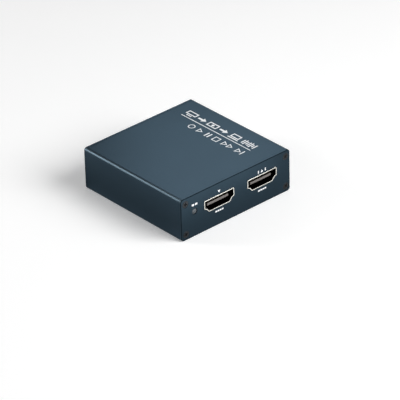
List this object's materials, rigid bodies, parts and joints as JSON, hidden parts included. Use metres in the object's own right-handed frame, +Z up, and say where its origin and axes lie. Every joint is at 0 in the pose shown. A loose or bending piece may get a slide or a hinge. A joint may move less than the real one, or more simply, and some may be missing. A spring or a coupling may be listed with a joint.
{
  "type": "video capture box",
  "caption": "Flat square metal box that passes video through and captures it to a computer, with video sockets on one end and audio jacks and a data socket on the other.",
  "frame": {"origin": "centre of the underside, on the surface that the box stands on", "axes": "+Z up; the panel with the video sockets faces -Y and the panel with the audio jacks and the data socket faces +Y"},
  "size_m": [0.054, 0.0542, 0.0175],
  "materials": {
    "anodised": "satin bead-blasted anodising, dark petrol blue-grey",
    "dark_steel": "black-oxide steel",
    "board": "glass-fibre board with green solder mask",
    "shell": "plated sheet steel",
    "moulded_black": "moulded black plastic",
    "moulded_grey": "moulded warm grey plastic",
    "signal_blue": "moulded light blue plastic",
    "gold": "gold-plated contact metal",
    "nickel": "bright nickel plate",
    "tinned": "tinned metal",
    "frosted": "frosted clear plastic",
    "lamp": "cast resin",
    "chip": "moulded black epoxy",
    "heat_sink": "plain extruded aluminium",
    "can": "drawn aluminium can",
    "ceramic": "fired ceramic"
  },
  "bodies": {
    "case": {"case_sleeve": "anodised", "front_panel": "anodised", "rear_panel": "anodised", "front_screws": "dark_steel", "rear_screws": "dark_steel", "main_board": "board", "video_in_shell": "shell", "video_out_shell": "shell", "data_port_shell": "shell", "line_in_housing": "moulded_black", "line_out_housing": "moulded_black", "video_in_insulator": "moulded_grey", "video_out_insulator": "moulded_grey", "data_port_insulator": "signal_blue", "video_in_contacts": "gold", "video_out_contacts": "gold", "data_port_contacts": "gold", "line_in_bushing": "nickel", "line_out_bushing": "nickel", "line_in_legs": "tinned", "line_out_legs": "tinned", "crystals": "tinned", "status_light_pipe": "frosted", "power_light_pipe": "frosted", "status_lamp": "lamp", "power_lamp": "lamp", "capture_processor": "chip", "video_receiver": "chip", "memory_chip": "chip", "flash_chip": "chip", "audio_codec": "chip", "power_inductors": "chip", "voltage_regulators": "chip", "surge_protectors": "chip", "chip_resistors": "chip", "heat_sink": "heat_sink", "electrolytic_capacitors": "can", "ceramic_capacitors": "ceramic"},
    "line_in_tip_spring": {"line_in_tip_spring": "gold"},
    "line_in_ring_spring": {"line_in_ring_spring": "gold"},
    "line_out_tip_spring": {"line_out_tip_spring": "gold"},
    "line_out_ring_spring": {"line_out_ring_spring": "gold"}
  },
  "joints": [
    {"name": "line_in_tip_flex", "type": "hinge", "parent": "case", "child": "line_in_tip_spring", "pos_m": [0.02065, 0.0218, 0.00875], "axis": [0, 0, 1], "range_deg": [0, 4], "stiffness_Nm_per_rad": 0.08},
    {"name": "line_in_ring_flex", "type": "hinge", "parent": "case", "child": "line_in_ring_spring", "pos_m": [0.01515, 0.0129, 0.00875], "axis": [0, 0, 1], "range_deg": [0, 4], "stiffness_Nm_per_rad": 0.08},
    {"name": "line_out_tip_flex", "type": "hinge", "parent": "case", "child": "line_out_tip_spring", "pos_m": [0.00775, 0.0218, 0.00875], "axis": [0, 0, 1], "range_deg": [0, 4], "stiffness_Nm_per_rad": 0.08},
    {"name": "line_out_ring_flex", "type": "hinge", "parent": "case", "child": "line_out_ring_spring", "pos_m": [0.00225, 0.0129, 0.00875], "axis": [0, 0, 1], "range_deg": [0, 4], "stiffness_Nm_per_rad": 0.08}
  ]
}
